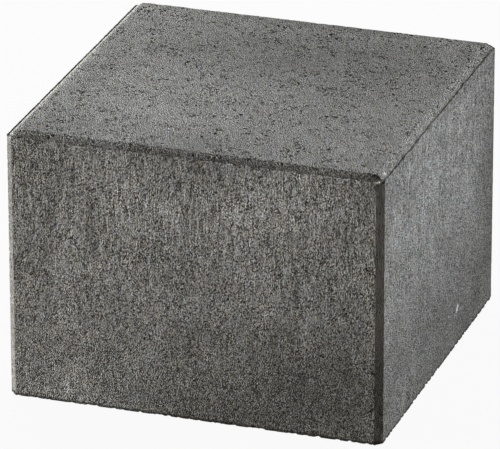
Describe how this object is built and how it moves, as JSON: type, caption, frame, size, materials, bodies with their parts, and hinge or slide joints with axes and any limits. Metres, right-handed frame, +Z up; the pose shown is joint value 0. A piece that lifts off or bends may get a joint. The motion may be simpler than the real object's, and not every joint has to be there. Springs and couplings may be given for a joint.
{
  "type": "concrete wall block",
  "caption": "Solid square concrete block for dry-stacked garden and retaining walls, with chamfered upright corners and a chamfered top face.",
  "frame": {"origin": "centre of the underside", "axes": "+X along the wall's length, +Y from the front face to the back face, +Z up to the chamfered top face"},
  "size_m": [0.275, 0.275, 0.2],
  "materials": {
    "concrete": "matte, fine-grained pressed concrete, dark grey"
  },
  "bodies": {
    "root": {"wall_block": "concrete"}
  },
  "joints": []
}
